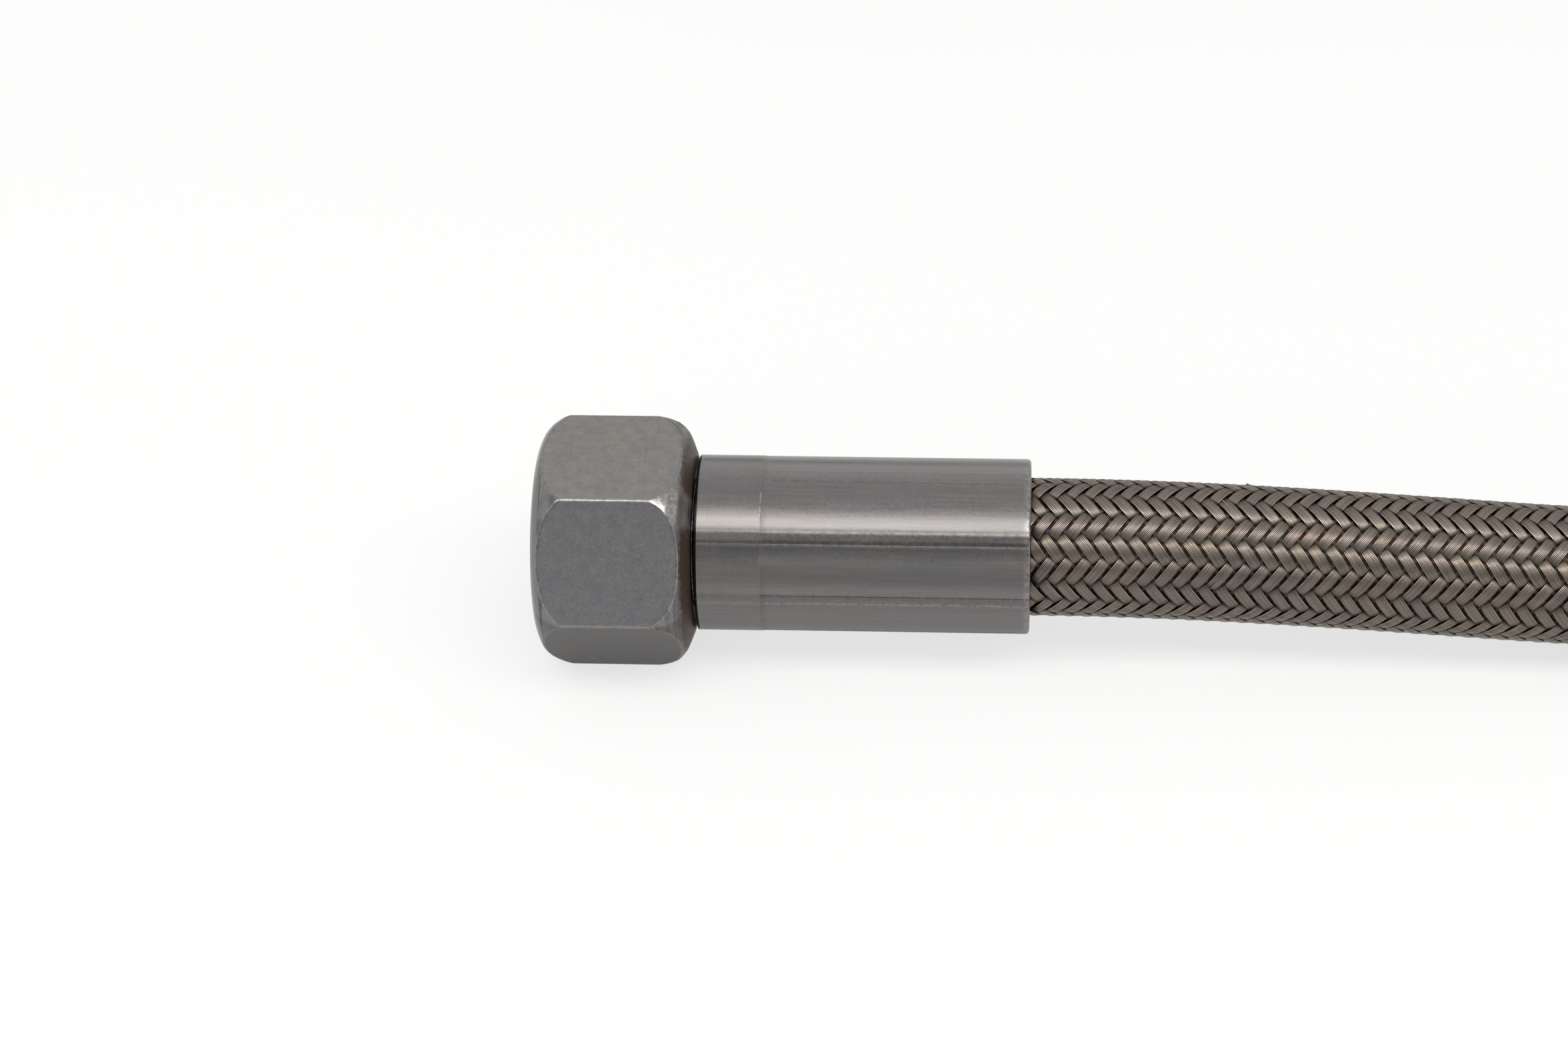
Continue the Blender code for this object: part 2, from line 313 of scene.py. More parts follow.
def braidTree():
    tree = bpy.data.node_groups.new("braid plaits", "GeometryNodeTree")
    inputs = {
        "Path": "Geometry",
        "Plaits": plaitsEachWay // 2,
        "First Plait": 0,
        "Hand": 1.0,
        "Rings": 600,
        "Start": 0.0,
        "Steel": "Material",
        **braid,
    }
    addSockets(tree, inputs, {"Plaits": "Geometry"})
    entry = tree.nodes.new("NodeGroupInput").outputs
    way = partial(calc, tree)

    # A closed ribbon: a crest for each wire, a valley between two, and a flat underside
    sides = way("MULTIPLY_ADD", entry["Wires"], 2.0, 1.0)
    lastSide = way("MULTIPLY", entry["Wires"], 2.0)
    ribbon = addNode(
        tree,
        "GeometryNodeMeshCylinder",
        {"Vertices": sides, "Side Segments": entry["Rings"], "Radius": 1.0, "Depth": 1.0},
    ).outputs["Mesh"]
    index = tree.nodes.new("GeometryNodeInputIndex").outputs[0]
    ribbon = stored(tree, ribbon, "side", way("FLOORED_MODULO", index, sides))
    ribbon = stored(tree, ribbon, "ring", way("FLOOR", way("DIVIDE", way("ADD", index, 0.5), sides)))
    row = addNode(tree, "GeometryNodeMeshLine", {"Count": entry["Plaits"], "Offset": (0, 0, 0)})
    placed = addNode(
        tree, "GeometryNodeInstanceOnPoints", {"Points": row.outputs[0], "Instance": ribbon}
    )
    number = way("ADD", index, entry["First Plait"])
    numbered = stored(tree, placed.outputs[0], "plait", number, domain="INSTANCE")
    mesh = addNode(tree, "GeometryNodeRealizeInstances", {"Geometry": numbered}).outputs[0]

    side, ring, plait = (
        addNode(tree, "GeometryNodeInputNamedAttribute", {"Name": name}).outputs["Attribute"]
        for name in ("side", "ring", "plait")
    )

    # A number for each wire, which its chances follow
    def wireNumber(stride):
        return way("ADD", way("FLOOR", way("DIVIDE", side, 2.0)), way("MULTIPLY", plait, stride))

    # Along the plait
    hand = entry["Hand"]
    period = way("FLOOR", way("DIVIDE", way("ADD", ring, 0.5), len(floatRings)))
    step = way("FLOORED_MODULO", ring, len(floatRings))
    places, shares = zip(*floatRings)
    along = way("MULTIPLY_ADD", period, crossings, pick(tree, step, places))
    offset = way("MULTIPLY_ADD", way("MULTIPLY", hand, plait), -2.0, way("MULTIPLY_ADD", hand, 0.5, 0.5))
    crossing = way("ADD", along, way("FLOORED_MODULO", offset, crossings))
    wave = way("MULTIPLY", pick(tree, step, shares), entry["Wave"])

    # Across the plait, from its middle
    half = entry["Wires"]
    place = way("SUBTRACT", side, half)
    across = way("MULTIPLY", way("DIVIDE", place, lastSide), entry["Plait Width"])
    odd = way("FLOORED_MODULO", side, 2.0)
    outermost = way("COMPARE", way("ABSOLUTE", place), half, plaitShape["near"])
    edge = way("POWER", way("ABSOLUTE", way("DIVIDE", place, half)), 3.0)
    rise = summed(tree, plaitShape["valley"], (
        (odd, plaitShape["crest"]),
        (outermost, plaitShape["outermost"]),
        (edge, plaitShape["edge"]),
    ))
    rise = way("MULTIPLY", rise, entry["Wire"])
    wire = wireNumber(11.0)
    spot = combined(
        tree,
        way("MULTIPLY", crossing, plaitShape["wobble along"]),
        way("MULTIPLY", wire, plaitShape["wobble across"]),
        hand,
    )
    wobble = addNode(tree, "ShaderNodeTexNoise", {"Vector": spot, "Scale": 1.0, "Detail": 2.0})
    uneven = way("MULTIPLY", way("SUBTRACT", wobble.outputs["Fac"], 0.5), entry["Unevenness"])
    radius = way("ADD", way("ADD", entry["Middle Radius"], wave), way("MULTIPLY_ADD", uneven, odd, rise))

    # Onto the hose
    slope = way("ARCTAN2", way("MULTIPLY", entry["Middle Radius"], math.tau), entry["Lead"])
    perCrossing = way("DIVIDE", entry["Lead"], 2 * plaitsEachWay)
    length = way("MULTIPLY_ADD", way("ADD", crossing, entry["Shift"]), perCrossing, entry["Start"])
    axial = way("MULTIPLY", way("MULTIPLY", across, way("SINE", slope)), hand)
    length = way("SUBTRACT", length, axial)
    sideways = way("DIVIDE", way("MULTIPLY", across, way("COSINE", slope)), entry["Middle Radius"])
    steps = way("ADD", way("MULTIPLY", hand, crossing), way("MULTIPLY", plait, 2.0))
    angle = way("MULTIPLY", steps, math.pi / plaitsEachWay)
    angle = way("ADD", angle, way("ADD", sideways, entry["Row Angle"]))

    # Here and there a wire stands up in a snag, though not where the hose rests
    snagged = way("MULTIPLY", odd, way("LESS_THAN", chance(tree, index, 5), entry["Snags"]))
    clear = way("GREATER_THAN", way("SINE", angle), plaitShape["snags above"])
    high = way("GREATER_THAN", wave, 0.0)
    snagged = way("MULTIPLY", snagged, way("MULTIPLY", clear, high))
    radius = way("MULTIPLY_ADD", snagged, entry["Snag"], radius)
    sample = addNode(
        tree, "GeometryNodeSampleCurve", {"Curves": entry["Path"], "Length": length}, mode="LENGTH"
    )
    tangent = sample.outputs["Tangent"]
    level = vectorCalc(tree, "CROSS_PRODUCT", tangent, (0.0, 0.0, 1.0))
    level = vectorCalc(tree, "NORMALIZE", level)
    upward = vectorCalc(tree, "CROSS_PRODUCT", level, tangent)
    level = scaled(tree, level, way("COSINE", angle))
    upward = scaled(tree, upward, way("SINE", angle))
    spoke = scaled(tree, vectorCalc(tree, "ADD", level, upward), radius)
    position = vectorCalc(tree, "ADD", sample.outputs["Position"], spoke)

    # What the wires' finish and painted shade go by
    low = way("SUBTRACT", entry["Middle Radius"], way("MULTIPLY_ADD", entry["Wire"], 0.5, entry["Wave"]))
    span = way("MULTIPLY_ADD", entry["Wave"], 2.0, entry["Wire"])
    relief = way("DIVIDE", way("SUBTRACT", radius, low), span)
    for name, value, domain in (
        ("relief", relief, "POINT"),
        ("crest", odd, "POINT"),
        ("along", along, "POINT"),
        ("tone", chance(tree, wireNumber(7.0), 3), "FACE"),
    ):
        mesh = stored(tree, mesh, name, value, domain=domain)
    texture = combined(tree, way("MULTIPLY", crossing, plaitShape["texture step"]), wire)
    mesh = stored(tree, mesh, "UVMap", texture, domain="CORNER", data_type="FLOAT2")
    mesh = addNode(tree, "GeometryNodeSetPosition", {"Geometry": mesh, "Position": position}).outputs[0]

    # The valleys stay sharp, so that each wire shades as a round one
    ends = tree.nodes.new("GeometryNodeInputMeshEdgeVertices")
    endSides = [
        addNode(
            tree, "GeometryNodeFieldAtIndex", {"Value": side, "Index": ends.outputs[i]}, domain="POINT"
        ).outputs[0]
        for i in (0, 1)
    ]
    sameSide = way("COMPARE", endSides[0], endSides[1], plaitShape["near"])
    valley = way("COMPARE", way("FLOORED_MODULO", endSides[0], 2.0), 0.0, plaitShape["near"])
    for values, domain in (
        ({"Shade Smooth": True}, "FACE"),
        ({"Shade Smooth": False, "Selection": way("MULTIPLY", sameSide, valley)}, "EDGE"),
    ):
        values["Geometry"] = mesh
        mesh = addNode(tree, "GeometryNodeSetShadeSmooth", values, domain=domain).outputs[0]
    steel = addNode(tree, "GeometryNodeSetMaterial", {"Geometry": mesh, "Material": entry["Steel"]})
    addNode(tree, "NodeGroupOutput", {0: steel.outputs[0]})
    return tree


wireSteel = bpy.data.materials.new("stainless_braid_wire")


def plaitPiece(name, path, tree, first, hand):
    modifier = path.modifiers.new("braid", "NODES")
    modifier.node_group = tree
    length = path.data.splines[0].calc_length()
    repeat = crossings * braid["Lead"] / (2 * plaitsEachWay)
    start = hose["mouth"] - hose["start"] - hose["braid lead in"]
    values = {
        **braid,
        "Plaits": plaitsEachWay // 2,
        "First Plait": first,
        "Hand": hand,
        "Rings": math.floor((length - 2 * start) / repeat - 1) * len(floatRings) + 2,
        "Start": start,
        "Steel": wireSteel,
    }
    for item in tree.interface.items_tree:
        if item.item_type == "SOCKET" and item.in_out == "INPUT" and item.name in values:
            modifier[item.identifier] = values[item.name]
    graph = bpy.context.evaluated_depsgraph_get()
    mesh = bpy.data.meshes.new_from_object(path.evaluated_get(graph), depsgraph=graph)
    path.modifiers.remove(modifier)
    mesh.name = name
    return addObject(name, mesh)


finePath = pathCurve("hose_centre", hosePath(hose["braid spacing"]))
plaitTree = braidTree()
plaits = [
    plaitPiece(f"braid_{word}_{number}", finePath, plaitTree, first, hand)
    for word, hand in (("right", 1.0), ("left", -1.0))
    for number, first in ((1, 0), (2, plaitsEachWay // 2))
]
bpy.data.objects.remove(finePath, do_unlink=True)
for piece in plaits:
    print(piece.name, len(piece.data.polygons), "faces")


# Fittings. A turned or crimped piece is a closed skin of rings round its axis: a ring is a
# list of (distance along the fitting, radius) for the same angles, 0 towards the camera's
# side and a quarter turn up, with marks for the finish.
# Of these marks, shade is painted light and shade, and grime is dirt, with painted shade behind the nut
finishMarks = ("wear", "turned", "grime", "shade", "stain")


def ringSkin(name, side, angles, rings, marks, links=None):
    bm = bmesh.new()
    layers = {key: bm.verts.layers.float.new(key) for key in marks[0]}
    grid = []
    for ring, mark in zip(rings, marks):
        line = []
        for c, (along, radius) in enumerate(ring):
            vert = bm.verts.new((
                openFace + along,
                side - radius * math.cos(angles[c]),
                axisHeight + radius * math.sin(angles[c]),
            ))
            for key, layer in layers.items():
                value = mark[key]
                vert[layer] = value[c] if isinstance(value, list) else value
            line.append(vert)
        grid.append(line)
    count = len(angles)
    for r in range(len(grid)):
        here, there = grid[r], grid[(r + 1) % len(grid)]
        for c in range(count - 1):
            bm.faces.new((here[c], here[c + 1], there[c + 1], there[c]))
        a, b = links(r, len(grid)) if links else (r, (r + 1) % len(grid))
        bm.faces.new(dict.fromkeys((here[-1], grid[a][0], grid[b][0], there[-1])))
    bmesh.ops.remove_doubles(bm, verts=bm.verts, dist=0.000001)
    bmesh.ops.recalc_face_normals(bm, faces=bm.faces)
    mesh = bpy.data.meshes.new(name)
    bm.to_mesh(mesh)
    bm.free()
    mesh.shade_smooth()
    return addObject(name, mesh)


def between(low, high, steps):
    return [low + (high - low) * i / steps for i in range(steps + 1)]


def remapped(value, low, high):
    return min(max((value - low) / (high - low), 0.0), 1.0)


def softCorner(a, corner, b, steps):
    found = []
    for i in range(steps + 1):
        t = i / steps
        found.append(tuple(
            (1 - t) ** 2 * p + 2 * t * (1 - t) * q + t * t * r for p, q, r in zip(a, corner, b)
        ))
    return found


nut = {
    "length": 19.1 * mm,
    "apothem": 13.5 * mm,
    "corner": 0.45 * mm,  # radius of the hexagon's edges
    "edge": 0.20 * mm,  # of the round where a turned end meets a flat
    "front profile": (  # (distance from the end, radius) of the turned ends, in mm
        (0.0, 11.2), (0.12, 11.8), (0.42, 12.6), (0.85, 13.4), (1.6, 14.25),
        (2.4, 14.85), (3.2, 15.3), (4.1, 15.62), (5.2, 15.9),
    ),
    "back profile": (
        (0.0, 10.2), (0.14, 10.9), (0.40, 11.6), (0.75, 12.5), (1.2, 13.45), (2.0, 14.40),
        (2.85, 14.92), (3.7, 15.26), (4.9, 15.58), (6.3, 15.9),
    ),
    "mouth": 10.58 * mm,
    "crest": 9.32 * mm,
    "root": 10.48 * mm,
    "pitch": 1.814 * mm,
    "thread end": 11.4 * mm,
    "relief end": 13.2 * mm,
    "seat": 9.6 * mm,
    "rear bore": 8.0 * mm,
    "rear chamfer": 0.4 * mm,
    "steps": (0.0, 0.15, 0.4, 0.9, 1.8),  # of the mesh from each end of a flat, in mm
    "face": 11.0 * mm,  # radius on the front face where the dirt from the thread ends
    # For the flats in turn, from the one that faces up towards the camera's side
    "paintedShades": (1.48, 1.27, 1.12, 0.95, 1.05, 0.69),  # how light each flat is painted: painted light and shade for what it reflects
    "rubs": (0.42, 0.12, 0.4, 0.5, 0.3, 0.12),  # how much the flat's outline is rubbed
    "darkening": (0.0, 0.0, 0.05, 0.1, 0.2, 0.22),  # how much darker and browner each flat gets towards its first edge
    "stains": (0.25, 1.0, 0.8, 0.5, 0.7, 0.8),
    "corner rubs": (0.62, 0.45, 0.5, 0.4, 0.5, 0.14),  # on the edge after each flat
    "smears": (0.0, 0.75, 0.4, 0.3, 0.2, 0.3),  # dark arcs where the rear turning starts
    "smeared rings": (1, 3),
    # Behind: radius where it starts and where it is full, and how much. The first is dirt and painted
    # shade of the gap to the ferrule, the second painted light
    "packed dirt and shade": (14.6 * mm, 12.6 * mm, 1.5),
    "painted light behind": (14.6 * mm, 12.4 * mm, 0.8),
    "painted highlight corner": (60.0, 14.0, 0.8),  # angle, reach and strength of a painted highlight behind one corner, laid on as rubbing
    "painted highlight rings": 5,
}
threadShape = (  # share of the pitch, share of the depth
    (0.0, 0.04), (0.04, 0.0), (0.127, 0.0), (0.167, 0.04),
    (0.50, 0.96), (0.54, 1.0), (0.627, 1.0), (0.667, 0.96),
)


# Places across a flat, closer together towards its ends
def flatPlaces(low, high, count):
    *near, last = (d * mm for d in nut["steps"])
    inner = between(low + last, high - last, count)
    return [low + d for d in near] + inner + [high - d for d in reversed(near)]


def nutOutline():
    half = (nut["apothem"] - nut["corner"]) * math.tan(math.pi / 6)
    found = []  # (angle, radius, wear, grime, shade, stain)
    for k in range(6):
        facing = math.radians(30 + 60 * k)
        shade, rub, darkening, stain = (nut[key][k] for key in ("paintedShades", "rubs", "darkening", "stains"))
        for d in flatPlaces(-half, half, 9):
            x = nut["apothem"] * math.cos(facing) - d * math.sin(facing)
            y = nut["apothem"] * math.sin(facing) + d * math.cos(facing)
            wear = rub if abs(d) == half else 0.0
            grime = darkening * (half - d) / (2 * half)
            found.append((math.atan2(y, x), math.hypot(x, y), wear, grime, shade, stain))
        reach = (nut["apothem"] - nut["corner"]) / math.cos(math.pi / 6)
        centre = facing + math.pi / 6
        following = nut["paintedShades"][(k + 1) % 6]
        steps = 4
        for i, turn in enumerate(between(facing, facing + math.pi / 3, steps)[1:-1], 1):
            x = reach * math.cos(centre) + nut["corner"] * math.cos(turn)
            y = reach * math.sin(centre) + nut["corner"] * math.sin(turn)
            blend = shade + (following - shade) * i / steps
            rub = nut["corner rubs"][k]
            found.append((math.atan2(y, x), math.hypot(x, y), rub, 0.0, blend, stain))
    # Twice, because an angle just under 0 first comes out as a whole turn
    return sorted((angle % math.tau % math.tau, *rest) for angle, *rest in found)


# A turned end's profile from its face to the round where it meets a flat, and the meeting point
def turnedEnd(profile, radius):
    points = [p for p in profile if p.y < radius]
    a, b = points[-1], profile[len(points)]
    hit = a.lerp(b, (radius - a.y) / (b.y - a.y))
    points = [p for p in points if (p - hit).length > nut["edge"]]
    stop = hit + (points[-1] - hit).normalized() * nut["edge"]
    return [tuple(p)[:2] for p in spread(points + [stop], 9)], (hit.x, hit.y)


def threadRadius(phase):
    steps = list(threadShape) + [(1.0, threadShape[0][1])]
    for (p, a), (q, b) in zip(steps, steps[1:]):
        if phase <= q:
            share = a + (b - a) * (phase - p) / (q - p)
            return nut["crest"] + (nut["root"] - nut["crest"]) * share


def makeNut(name, side):
    outline = nutOutline()
    angles = [column[0] for column in outline]
    frontCurve, backCurve = (
        smoothCurve([Vector((x * mm, r * mm, 0.0)) for x, r in nut[key]], 8)
        for key in ("front profile", "back profile")
    )

    def behind(key, radius):
        start, full, most = nut[key]
        return most * remapped(radius, start, full)

    corner, reach, bare = nut["painted highlight corner"]
    length, edge = nut["length"], nut["edge"]
    rear, chamfer, relief = nut["rear bore"], nut["rear chamfer"], nut["relief end"]
    columns = []
    for angle, radius, wear, grime, shade, stain in outline:
        front, frontHit = turnedEnd(frontCurve, radius)
        back, backHit = turnedEnd(backCurve, radius)
        k = int(angle / (math.pi / 3)) % 6
        rub = nut["rubs"][k]
        frontFlat = frontHit[0] + edge
        backFlat = length - backHit[0] - edge
        # The turned ends carry half of the flat's painted light and shade
        endShade = 0.5 + 0.5 * shade
        # (along, radius, wear, turned, grime, shade)
        column = [(0.0, nut["mouth"], 0.1, 1, 0.2, 1), (0.0, nut["face"], 0.1, 1, 0, 1)]
        column += [(x, r, 0.2 if i < 2 else 0.0, 1, 0, endShade) for i, (x, r) in enumerate(front)]
        bend = softCorner(front[-1], frontHit, (frontFlat, radius), 4)[1:]
        column += [(x, r, rub, 0.3, 0, endShade) for x, r in bend]
        column += [(x, radius, wear, 0, grime, shade) for x in flatPlaces(frontFlat, backFlat, 6)[1:-1]]
        backEnd = (length - back[-1][0], back[-1][1])
        bend = softCorner((backFlat, radius), (length - backHit[0], radius), backEnd, 4)[:-1]
        column += [(x, r, rub, 0.3, 0, endShade) for x, r in bend]
        # A painted highlight behind one corner, laid on as rubbed steel, with no dirt under it
        away = abs(math.degrees(angle) - corner)
        bright = bare * (1 - remapped(away, 0.4 * reach, reach))
        for i, (x, r) in enumerate(reversed(back)):
            smear = nut["smears"][k] if i in nut["smeared rings"] else 0.0
            # Towards the gap to the ferrule: dirt and painted shade, and the steel painted lighter
            grime = max(behind("packed dirt and shade", r), smear) * (1 - bright)
            light = endShade * (1 + behind("painted light behind", r))
            column.append((length - x, r, bright if i < nut["painted highlight rings"] else 0.0, 1, grime, light))
        column += [
            (length, rear + chamfer, 0, 1, 0.4, 2),
            (length - chamfer, rear, 0, 1, 1, 1),
            (relief + nut["seat"] - rear, rear, 0, 1, 1, 1),
            (relief, nut["seat"], 0, 1, 0.6, 1),
            (relief, nut["root"], 0, 1, 0.6, 1),
            (nut["thread end"], nut["root"], 0, 1, 0.6, 1),
        ]
        columns.append([(*row, stain) for row in column])
    rows = list(zip(*columns))
    rings = [[point[:2] for point in row] for row in rows]
    marks = [
        {key: [point[i] for point in row] for i, key in enumerate(finishMarks, 2)} for row in rows
    ]
    plain = len(rings)
    points = len(threadShape)
    turns = math.ceil(nut["thread end"] / nut["pitch"]) + 1
    for k in range(turns * points, -1, -1):
        ring = []
        share = k // points + threadShape[k % points][0]
        for angle in angles:
            along = (share - 1 + (1 - angle / math.tau)) * nut["pitch"]
            along = min(max(along, 0.0), nut["thread end"])
            phase = (along / nut["pitch"] + angle / math.tau) % 1.0
            ring.append((along, max(threadRadius(phase), nut["mouth"] - along)))
        rings.append(ring)
        marks.append({"wear": 0.0, "turned": 1.0, "grime": 0.15, "shade": 1.0, "stain": 0.5})

    # The last column meets the first one a whole turn of the thread further on
    def links(r, total):
        if r < plain:
            return r, r + 1
        ahead = r + points
        return min(ahead, total - 1), 0 if r + 1 == total else min(ahead + 1, total - 1)

    return ringSkin(name, side, angles, rings, marks, links)


ferrule = {
    "start": 19.5 * mm,
    "end": 59.6 * mm,
    "plain": 10.64 * mm,
    "crimped": 10.55 * mm,
    "step": 27.3 * mm,  # where the dies begin to bite
    "step length": 0.25 * mm,
    "front lip": 0.32 * mm,  # round a dished front face: how far it stands out, and its width
    "back round": 0.4 * mm,
    "bore": 8.7 * mm,
    "front bore": 6.5 * mm,
    "front wall": 2.2 * mm,
    "ridge": 0.07 * mm,
    "groove": 0.035 * mm,
    "groove width": 0.5,  # in degrees, as the marks are
    "middle": -0.07 * mm,  # of a die's face, against its edges
    "rim": 0.05 * mm,
    "chamfer": 0.2 * mm,
    "crown": 0.008 * mm,  # of a ridge's middle
    "groove darkness": 0.45,
    # Of a mark: angle, width, the groove's depth and the rubbing on its lower side, and on its upper
    "marks": (
        (2.85, 5.1, 0.4, 0.4, 1.6, 0.1), (45.9, 8.2, 0.65, 0.22, 0.1, 0.1),
        (91.4, 10.2, 0.6, 0.1, 0.4, 0.1), (137.0, 6.5, 0.8, 0.2, 0.5, 0.1),
        (182.0, 7.0, 0.4, 0.1, 0.9, 0.3), (227.0, 6.0, 0.7, 0.2, 0.7, 0.1),
        (272.0, 7.0, 0.9, 0.1, 0.4, 0.2), (317.4, 6.5, 0.6, 0.2, 0.8, 0.1),
    ),
    "paintedShades": (  # how light the steel is painted round the ferrule, by angle: painted light and shade for what it reflects
        (0, 1.06), (4, 0.84), (9, 1.15), (16, 0.84), (22, 0.82), (26, 1.02), (30.5, 1.50),
        (36, 1.25), (39, 0.98), (43, 0.76), (46, 0.58), (48.5, 0.52), (50.5, 0.68), (52.5, 0.90),
        (60, 0.93), (68, 0.93), (78, 0.96), (85, 1.0), (92, 1.22), (105, 1.58), (125, 1.70),
        (150, 1.1), (190, 1.05), (230, 0.9), (270, 1.0), (320, 1.0), (345, 1.12), (360, 1.02),
    ),
    "scratch": (60.0, 78.0),  # the angles between which the dies' front edge is rubbed bright
    "turns": {"a": 0.0, "b": 14.0},  # of the marks round each ferrule, in degrees
}


def dieOutline(turn):
    found = []  # (angle, height, wear, darkness)
    marks = ferrule["marks"]
    rim, ridge, dark = ferrule["rim"], ferrule["ridge"], ferrule["groove darkness"]
    crown = ridge + ferrule["crown"]
    for k, (centre, width, lower, lowerRub, upper, upperRub) in enumerate(marks):
        half, narrow = width / 2, ferrule["groove width"]
        for place, *rest in (
            (-half - narrow, rim, lowerRub, 0.0),
            (-half, rim - ferrule["groove"] * lower, 0.0, dark * lower),
            (-half + narrow, ridge, 0.15, 0.1),
            (-half * 0.4, crown, 0.05, 0.03),
            (half * 0.4, crown, 0.05, 0.03),
            (half - narrow, ridge, 0.15, 0.1),
            (half, rim - ferrule["groove"] * upper, 0.0, dark * upper),
            (half + narrow, rim, upperRub, 0.0),
        ):
            found.append((centre + place, *rest))
        following, nextWidth = marks[(k + 1) % len(marks)][:2]
        following += 360 if following < centre else 0
        low, high = centre + half + narrow, following - nextWidth / 2 - narrow
        for share in between(0, 1, 14)[1:-1]:
            bow = (2 * share - 1) ** 2
            height = ferrule["middle"] + (rim - ferrule["middle"]) * bow
            found.append((low + (high - low) * share, height, 0.0, 0.0))
    shaded = []  # (angle in radians, height, wear, darkness, painted light and shade, angle in degrees before the turn)
    for angle, *rest in found:
        angle %= 360
        for (a, low), (b, high) in zip(ferrule["paintedShades"], ferrule["paintedShades"][1:]):
            if a <= angle <= b:
                shade = low + (high - low) * (angle - a) / (b - a)
                break
        shaded.append((math.radians(angle + turn) % math.tau, *rest, shade, angle))
    return sorted(shaded)


def makeFerrule(name, side, turn):
    outline = dieOutline(turn)
    angles = [column[0] for column in outline]
    start, end, step = ferrule["start"], ferrule["end"], ferrule["step"]
    lip, back = ferrule["front lip"], ferrule["back round"]
    plain, crimped = ferrule["plain"], ferrule["crimped"]
    bore, frontBore, chamfer = ferrule["bore"], ferrule["front bore"], ferrule["chamfer"]
    # (along, radius, share of the die marks, wear, grime, how light it is painted), and a wear of -1 is
    # the dies' front edge, which is rubbed between the scratch's angles alone
    rows = []
    # The front lip is painted light, most at its front, with a little dirt
    for t in between(math.pi / 2, 0, 6):
        rows.append((
            start + lip * (1 - math.cos(t)),
            plain - lip + lip * math.cos(t),
            0.5 * math.cos(t),
            0.2 * math.cos(t),
            0.15 * math.sin(t) ** 2,
            1 + 3 * math.sin(t),
        ))
    places = [start + lip + 0.08 * mm, 21.0 * mm, *between(22.5 * mm, step - 0.3 * mm, 4)]
    rows += [(x, plain, 0.5, 0.0, 0.0, 1) for x in (*places, step - 0.06 * mm)]
    rows += [
        (step, plain - 0.01 * mm, 0.55, -1, 0.0, 1),
        (step + ferrule["step length"] * 0.8, crimped + 0.01 * mm, 0.95, 0.0, 0.25, 1),
        (step + ferrule["step length"], crimped, 1.0, 0.0, 0.15, 1),
    ]
    rows += [(x, crimped, 1.0, 0.0, 0.0, 1) for x in between(step + mm, end - mm, 20)]
    for t in between(0, math.pi / 2, 4):
        along, radius = end - back + back * math.sin(t), crimped - back + back * math.cos(t)
        rows.append((along, radius, math.cos(t), 0.4, 0.0, 1))
    rows += [
        (end, bore + chamfer, 0, 0.2, 0.4, 1),
        (end - chamfer, bore, 0, 0, 1, 1),
        (end - 6 * mm, bore, 0, 0, 1, 1),
        (start + ferrule["front wall"], bore, 0, 0, 1, 1),
        (start + ferrule["front wall"], frontBore, 0, 0, 1, 1),
        (start + chamfer, frontBore, 0, 0, 1, 1),
        (start, frontBore + chamfer, 0, 0, 0.5, 2),
    ]
    rings, marks = [], []
    low, high = ferrule["scratch"]
    for along, radius, share, rub, grime, light in rows:
        bite = remapped(share, 0.5, 1.0)
        rings.append([(along, radius + share * column[1]) for column in outline])
        wears, paintedShades = [], []
        for place, height, wear, dark, shade, angle in outline:
            bare = 0.9 if low < angle < high else 0.0
            wears.append(bare if rub < 0 else max(rub, wear * share))
            # The ends' painted light times the painted light and shade by angle, and darker in the
            # grooves
            shine = light * (1 + (shade - 1) * (0.7 + 0.3 * bite))
            paintedShades.append(shine * (1 - dark * (0.3 + 0.7 * bite)))
        marks.append({"wear": wears, "turned": 1.0 - bite, "grime": grime, "shade": paintedShades, "stain": 1.0})
    return ringSkin(name, side, angles, rings, marks)


nipple = {
    "sides": 96,
    "edge": 0.15 * mm,
    "ring step": 2.5 * mm,
    "edge wear": 0.7,
    "outside": (  # (distance along the fitting, radius), from the nose to the shank's end
        (6.8, 6.2), (11.51, 8.92), (13.46, 8.92), (14.68, 7.7), (19.2, 7.7), (19.2, 6.2),
        (22.0, 6.2), (22.0, 7.35), (23.6, 7.35), (23.6, 5.6), (56.6, 5.6), (57.6, 5.3),
    ),
    "bore": 4.6,
}


def makeNipple(name, side):
    outside = [(x * mm, r * mm) for x, r in nipple["outside"]]
    bore = nipple["bore"] * mm
    corners = outside + [(outside[-1][0], bore), (outside[0][0], bore)]
    rows = []
    for k, corner in enumerate(corners):
        before, after = corners[k - 1], corners[(k + 1) % len(corners)]
        arms = []
        for other in (before, after):
            reach = math.dist(corner, other)
            share = min(nipple["edge"] / reach, 0.4)
            arms.append(tuple(a + (b - a) * share for a, b in zip(corner, other)))
        rows += [(x, r, nipple["edge wear"]) for x, r in softCorner(arms[0], corner, arms[1], 3)]
        steps = max(1, round(math.dist(corner, after) / nipple["ring step"]))
        for share in between(0, 1, steps)[1:-1]:
            rows.append((*(a + (b - a) * share for a, b in zip(corner, after)), 0.0))
    angles = [math.tau * i / nipple["sides"] for i in range(nipple["sides"])]
    rings = [[(x, r)] * nipple["sides"] for x, r, wear in rows]
    plain = {"turned": 1.0, "grime": 0.1, "shade": 1.0, "stain": 1.0}
    marks = [{"wear": wear, **plain} for x, r, wear in rows]
    return ringSkin(name, side, angles, rings, marks)


